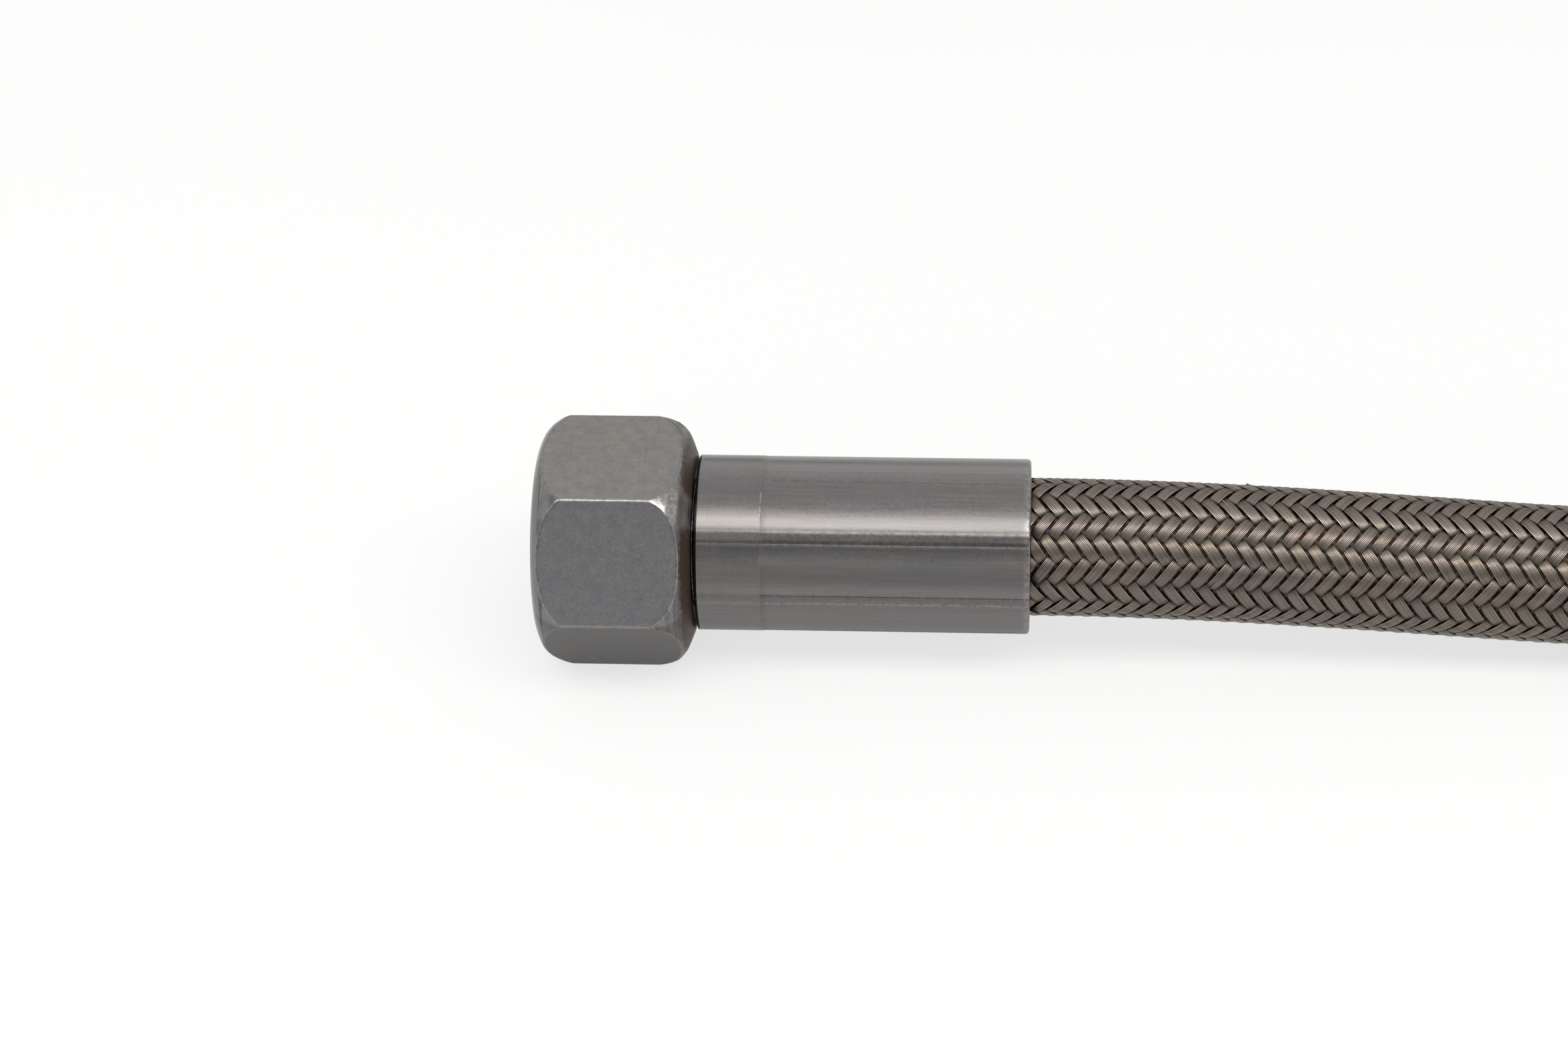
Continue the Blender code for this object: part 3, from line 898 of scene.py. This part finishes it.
nuts, ferrules, nipples = {}, {}, {}
for letter, side in fittings.items():
    nuts[letter] = makeNut("union_nut_" + letter, side)
    ferrules[letter] = makeFerrule("crimped_ferrule_" + letter, side, ferrule["turns"][letter])
    nipples[letter] = makeNipple("cone_nipple_" + letter, side)
print("fittings made")


# Finishes, on Object coordinates in metres. Heights are metres too.
def mixColour(tree, share, a, b):
    return addNode(tree, "ShaderNodeMix", {0: share, 6: a, 7: b}, data_type="RGBA").outputs[2]


def objectPlace(tree):
    return tree.nodes.new("ShaderNodeTexCoord").outputs["Object"]


def noiseValue(tree, vector, size, detail=2.0, roughness=0.5):
    scale = 1 / size if isinstance(size, float) else calc(tree, "DIVIDE", 1.0, size)
    inputs = {"Vector": vector, "Scale": scale, "Detail": detail, "Roughness": roughness}
    return addNode(tree, "ShaderNodeTexNoise", inputs).outputs["Fac"]


grainSizes = {
    "speckle": 0.0003,
    "streak": 0.0003,
    "streak squeeze": 0.03,  # along the fitting, which draws the streaks out
    "ring": 0.00075,
    "ring sweep": 0.0006,  # round the axis, for each radian
    "ring patch": 0.004,
    "patch": 0.0006,
}
dirtAndShadeColour = (0.050, 0.034, 0.026, 1.0)


def wornSteel():
    tree = bpy.data.node_groups.new("worn steel", "ShaderNodeTree")
    inputs = {
        "Cool": (0.15, 0.15, 0.15, 1),
        "Warm": (0.18, 0.17, 0.16, 1),
        "Rubbed": (0.36, 0.34, 0.32, 1),
        "Blotch Size": 0.004,
        "Stretch": 1.0,
        "Roughness": 0.3,
        "Grain": 0.2,
        "Streaks": 0.0,
        "Rings": 1.0,
        "Wear": 0.0,
        "Turned": 0.0,
        "Grime": 0.0,
        "Shade": 1.0,
        "Stain": 1.0,
    }
    outputs = {"Color": "Color", "Roughness": "Float", "Metal": "Float", "Height": "Float"}
    addSockets(tree, inputs, outputs)
    entry = tree.nodes.new("NodeGroupInput").outputs
    way = partial(calc, tree)
    place = objectPlace(tree)
    split = addNode(tree, "ShaderNodeSeparateXYZ", {0: place}).outputs
    aside = way("SUBTRACT", way("ABSOLUTE", split["Y"]), fittings["b"])
    above = way("SUBTRACT", split["Z"], axisHeight)
    radius = way("SQRT", way("MULTIPLY_ADD", aside, aside, way("MULTIPLY", above, above)))

    stretched = combined(tree, way("DIVIDE", split["X"], entry["Stretch"]), split["Y"], split["Z"])
    blotch = remap(tree, noiseValue(tree, stretched, entry["Blotch Size"], 5.0, 0.75), 0.33, 0.67)
    speckle = noiseValue(tree, place, grainSizes["speckle"], 3.0, 0.7)
    squeezed = way("MULTIPLY", split["X"], grainSizes["streak squeeze"])
    lengthwise = combined(tree, squeezed, split["Y"], split["Z"])
    streak = noiseValue(tree, lengthwise, grainSizes["streak"], 3.0, 0.6)
    sweep = way("MULTIPLY", way("ARCTAN2", above, aside), grainSizes["ring sweep"])
    turning = combined(tree, split["X"], radius, sweep)
    ring = noiseValue(tree, turning, grainSizes["ring"], 3.0, 0.6)
    uneven = remap(tree, noiseValue(tree, place, grainSizes["ring patch"]), 0.4, 0.6, 0.2, 1.0)
    rings = way("MULTIPLY", way("MULTIPLY", entry["Rings"], entry["Turned"]), uneven)
    ringDark = way("MULTIPLY", remap(tree, ring, 0.50, 0.60, smooth=True), rings)

    colour = mixColour(tree, way("MULTIPLY", blotch, entry["Stain"]), entry["Cool"], entry["Warm"])
    speckled = way("SUBTRACT", speckle, 0.5)
    # The Shade mark brings in painted light and shade, which grain, streaks and turning rings vary
    shade = summed(tree, entry["Shade"], (
        (speckled, entry["Grain"]),
        (way("SUBTRACT", streak, 0.5), entry["Streaks"]),
        (ringDark, -0.6),
    ))
    colour = scaled(tree, colour, shade)
    patchy = noiseValue(tree, place, grainSizes["patch"], 3.0, 0.6)
    rub = way("MULTIPLY", entry["Wear"], remap(tree, patchy, 0.35, 0.6, smooth=True))
    colour = mixColour(tree, rub, colour, entry["Rubbed"])
    # The grime mark is dirt, and behind the nut painted shade of the gap to the ferrule
    darkening = way("MULTIPLY", entry["Grime"], remap(tree, patchy, 0.75, 0.3, 0.55, 1.0))
    darkening = way("MINIMUM", darkening, 1.0)
    colour = mixColour(tree, darkening, colour, dirtAndShadeColour)
    metal = way("MULTIPLY_ADD", darkening, -0.9, 1.0)  # dirt and painted shade are matt, and hide the steel

    rough = summed(tree, entry["Roughness"], (
        (way("SUBTRACT", blotch, 0.5), 0.08),
        (speckled, 0.2),
        (darkening, 0.25),
        (rub, -0.05),
        (way("MULTIPLY", entry["Turned"], entry["Rings"]), -0.15),
    ))
    height = summed(tree, 0.0, (
        (way("MULTIPLY", speckle, entry["Grain"]), 0.012 * mm),
        (way("MULTIPLY", streak, entry["Streaks"]), 0.006 * mm),
        (way("MULTIPLY", ring, rings), 0.012 * mm),
    ))
    results = {"Color": colour, "Roughness": rough, "Metal": metal, "Height": height}
    addNode(tree, "NodeGroupOutput", results)
    return tree


steelTree = wornSteel()


def attributeValue(tree, name):
    return addNode(tree, "ShaderNodeAttribute", attribute_name=name).outputs["Fac"]


def emptyTree(material):
    material.use_nodes = True
    material.node_tree.nodes.clear()
    return material.node_tree


def startMaterial(material):
    tree = emptyTree(material)
    shader = tree.nodes.new("ShaderNodeBsdfPrincipled")
    addNode(tree, "ShaderNodeOutputMaterial", {"Surface": shader.outputs[0]})
    return tree, shader


def addBump(tree, shader, height):
    bump = addNode(tree, "ShaderNodeBump", {"Height": height, "Distance": 1.0})
    feed(tree, shader.inputs["Normal"], bump.outputs["Normal"])


def steelMaterial(name, values):
    material = bpy.data.materials.new(name)
    tree, shader = startMaterial(material)
    shader.inputs["Specular Tint"].default_value = (0.75, 0.75, 0.75, 1)
    shader.inputs["Specular IOR Level"].default_value = 0.1  # of the dirt and the painted shade
    steel = addNode(tree, "ShaderNodeGroup", node_tree=steelTree)
    for key, value in values.items():
        steel.inputs[key].default_value = value
    for key in finishMarks:
        feed(tree, steel.inputs[key.capitalize()], attributeValue(tree, key))
    for result, socket in (("Color", "Base Color"), ("Roughness", "Roughness"), ("Metal", "Metallic")):
        feed(tree, shader.inputs[socket], steel.outputs[result])
    addBump(tree, shader, steel.outputs["Height"])
    return material


steels = {  # by the names of the group's inputs, where they differ from its own values
    "union_nut_steel": {
        "Cool": (0.150, 0.149, 0.159, 1),
        "Warm": (0.208, 0.195, 0.168, 1),
        "Blotch Size": 0.0014,
        "Roughness": 0.34,
        "Grain": 0.60,
        "Streaks": 0.10,
    },
    "crimped_ferrule_steel": {
        "Cool": (0.152, 0.148, 0.152, 1),
        "Warm": (0.168, 0.160, 0.152, 1),
        "Blotch Size": 0.003,
        "Stretch": 5.0,
        "Roughness": 0.28,
        "Grain": 0.30,
        "Streaks": 0.34,
        "Rings": 0.08,
    },
    "cone_nipple_steel": {
        "Cool": (0.26, 0.26, 0.26, 1),
        "Warm": (0.30, 0.29, 0.27, 1),
        "Rubbed": (0.45, 0.44, 0.42, 1),
        "Roughness": 0.24,
        "Grain": 0.12,
    },
}
finishes = {name: steelMaterial(name, values) for name, values in steels.items()}

wireFinish = {
    # The first colour is painted shade in the weave: low down, at the floats' ends and between wires
    "Painted Shade": (0.027, 0.018, 0.013, 1),
    "Cool": (0.425, 0.380, 0.336, 1),
    "Warm": (0.465, 0.405, 0.343, 1),
    "roughness": 0.15,
    "arch": 0.20 * mm,  # of a float, for its shading alone
    "float": (0.82, 1.12),  # painted shade at a float's ends: where it starts and is darkest, in crossings from its middle
    "relief": (0.45, 0.78),  # painted shade low in the weave: where it is full and where it ends, by height in the weave
    "groove": (0.38, 0.95),  # painted shade in the grooves between wires, the same way, by height on a wire
}
softFinishes = {
    # The tube under the braid is dark as painted shade in the braid's gaps
    "braid_shade_layer": {
        "colours": ((0.030, 0.022, 0.017, 1), (0.055, 0.042, 0.034, 1)),
        "patches": 0.003,
        "contrast": (0.0, 1.0),
        "roughness": 0.6,
        "bump size": 0.0004,
        "bump height": 0.00002,
    },
    "ptfe_waxy_white": {
        "colours": ((0.80, 0.79, 0.75, 1), (0.88, 0.87, 0.84, 1)),
        "patches": 0.004,
        "contrast": (0.35, 0.65),
        "roughness": 0.36,
        "uneven roughness": 0.12,
        "bump size": 0.0005,
        "bump height": 0.000008,
    },
}


def finishWire():
    tree, shader = startMaterial(wireSteel)
    shader.inputs["Metallic"].default_value = 1.0
    way = partial(calc, tree)
    relief, tone = attributeValue(tree, "relief"), attributeValue(tree, "tone")
    place = objectPlace(tree)
    cloudy = remap(tree, noiseValue(tree, place, 0.006, 3.0), 0.38, 0.62, smooth=True)
    fine = noiseValue(tree, place, 0.0002)
    colour = mixColour(tree, cloudy, wireFinish["Cool"], wireFinish["Warm"])
    colour = scaled(tree, colour, way("MULTIPLY_ADD", way("SUBTRACT", tone, 0.5), 0.3, 1.0))
    # Painted shade: darker low in the weave, at the floats' ends and in the grooves between wires
    unshadedShare = remap(tree, relief, *wireFinish["relief"], smooth=True)
    along = way("FLOORED_MODULO", way("ADD", attributeValue(tree, "along"), 0.5), crossings)
    fromMiddle = way("ABSOLUTE", way("SUBTRACT", along, 1.0))
    ends = remap(tree, fromMiddle, *wireFinish["float"], 1.0, 0.30, smooth=True)
    groove = remap(tree, attributeValue(tree, "crest"), *wireFinish["groove"])
    unshadedShare = way("MULTIPLY", way("MULTIPLY_ADD", unshadedShare, 0.92, 0.08), way("MULTIPLY", ends, groove))
    colour = mixColour(tree, unshadedShare, wireFinish["Painted Shade"], colour)
    feed(tree, shader.inputs["Base Color"], colour)
    rough = way("MULTIPLY_ADD", way("SUBTRACT", 1.0, unshadedShare), 0.25, wireFinish["roughness"])
    feed(tree, shader.inputs["Roughness"], way("MULTIPLY_ADD", fine, 0.08, rough))
    drop = way("POWER", way("MINIMUM", fromMiddle, 1.2), 2.0)
    addBump(tree, shader, way("MULTIPLY", drop, -wireFinish["arch"]))


def softMaterial(name, finish):
    material = bpy.data.materials.new(name)
    tree, shader = startMaterial(material)
    place = objectPlace(tree)
    cloudy = remap(tree, noiseValue(tree, place, finish["patches"], 3.0), *finish["contrast"])
    feed(tree, shader.inputs["Base Color"], mixColour(tree, cloudy, *finish["colours"]))
    rough = finish["roughness"]
    if "uneven roughness" in finish:
        rough = calc(tree, "MULTIPLY_ADD", cloudy, finish["uneven roughness"], rough)
    feed(tree, shader.inputs["Roughness"], rough)
    bumps = noiseValue(tree, place, finish["bump size"])
    addBump(tree, shader, calc(tree, "MULTIPLY", bumps, finish["bump height"]))
    return material


finishWire()
for piece, name in ((shadeLayer, "braid_shade_layer"), (liner, "ptfe_waxy_white")):
    piece.data.materials.append(softMaterial(name, softFinishes[name]))
for letter in fittings:
    nuts[letter].data.materials.append(finishes["union_nut_steel"])
    ferrules[letter].data.materials.append(finishes["crimped_ferrule_steel"])
    nipples[letter].data.materials.append(finishes["cone_nipple_steel"])
print("finishes made")

studio = {
    "floor size": 6.0,
    "floor colour": (0.90, 0.90, 0.90, 1),
    "floor shine-through": 0.70,  # how much of the floor shows as plain white
    "surroundings": 0.62,
    "softbox height": 0.90,
    "softbox length": 2.0,
    "softbox depth": 0.32,
    "softbox middle": -0.375,
    "softbox brightness": 4.15,
    "softbox colour": (1.0, 0.965, 0.93),
    "card brightness": 0.45,  # grey card behind the camera, seen in reflections alone
    "card": (-2.2, 2.2, -1.3, 0.25, 1.05),  # lowest and highest x, y, lowest and highest z
}


def seenRays(tree):
    path = tree.nodes.new("ShaderNodeLightPath").outputs
    seen = calc(tree, "MAXIMUM", path["Is Camera Ray"], path["Is Glossy Ray"])
    return calc(tree, "MAXIMUM", seen, path["Is Transmission Ray"])


def flatSheet(name, corners):
    mesh = bpy.data.meshes.new(name)
    mesh.from_pydata(corners, [], [(0, 1, 2, 3)])
    material = bpy.data.materials.new(name)
    mesh.materials.append(material)
    return addObject(name, mesh), emptyTree(material)


def makeStudio():
    half = studio["floor size"] / 2
    corners = [(-half, -half, 0), (half, -half, 0), (half, half, 0), (-half, half, 0)]
    floor, tree = flatSheet("studio_floor", corners)
    matt = addNode(tree, "ShaderNodeBsdfDiffuse", {"Color": studio["floor colour"]})
    glow = addNode(tree, "ShaderNodeEmission", {"Strength": 1.0})
    share = calc(tree, "MULTIPLY", seenRays(tree), studio["floor shine-through"])
    mixed = addNode(tree, "ShaderNodeMixShader", {0: share, 1: matt.outputs[0], 2: glow.outputs[0]})
    addNode(tree, "ShaderNodeOutputMaterial", {"Surface": mixed.outputs[0]})

    world = bpy.data.worlds.new("studio")
    world.use_nodes = True
    bpy.context.scene.world = world
    tree = world.node_tree
    background = tree.nodes["Background"]
    background.inputs["Color"].default_value = (1, 1, 1, 1)
    strength = remap(tree, seenRays(tree), 0.0, 1.0, studio["surroundings"], 1.0)
    feed(tree, background.inputs["Strength"], strength)

    low, high, y, bottom, top = studio["card"]
    corners = [(low, y, bottom), (low, y, top), (high, y, top), (high, y, bottom)]
    card, tree = flatSheet("studio_card", corners)
    card.visible_camera = card.visible_diffuse = card.visible_shadow = False
    glow = addNode(tree, "ShaderNodeEmission", {"Strength": studio["card brightness"]})
    addNode(tree, "ShaderNodeOutputMaterial", {"Surface": glow.outputs[0]})

    data = bpy.data.lights.new("softbox", "AREA")
    data.color = studio["softbox colour"]
    data.shape = "RECTANGLE"
    data.size = studio["softbox length"]
    data.size_y = studio["softbox depth"]
    data.energy = studio["softbox brightness"] * math.pi * data.size * data.size_y
    softbox = addObject("softbox", data)
    softbox.location = (0.0, studio["softbox middle"], studio["softbox height"])
    softbox.visible_camera = False


makeStudio()
print("studio made")

for piece in (shadeLayer, liner, *plaits):
    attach(piece, "hose")
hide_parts("hose_braid")
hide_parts("hose_liner")
for letter in fittings:
    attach(nuts[letter], "nut_" + letter)
    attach(ferrules[letter], "hose")
    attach(nipples[letter], "hose")
    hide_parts("swivel_nut_" + letter)
    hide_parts("ferrule_" + letter)
    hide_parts("nipple_" + letter)

bpy.context.scene.view_settings.view_transform = "Standard"
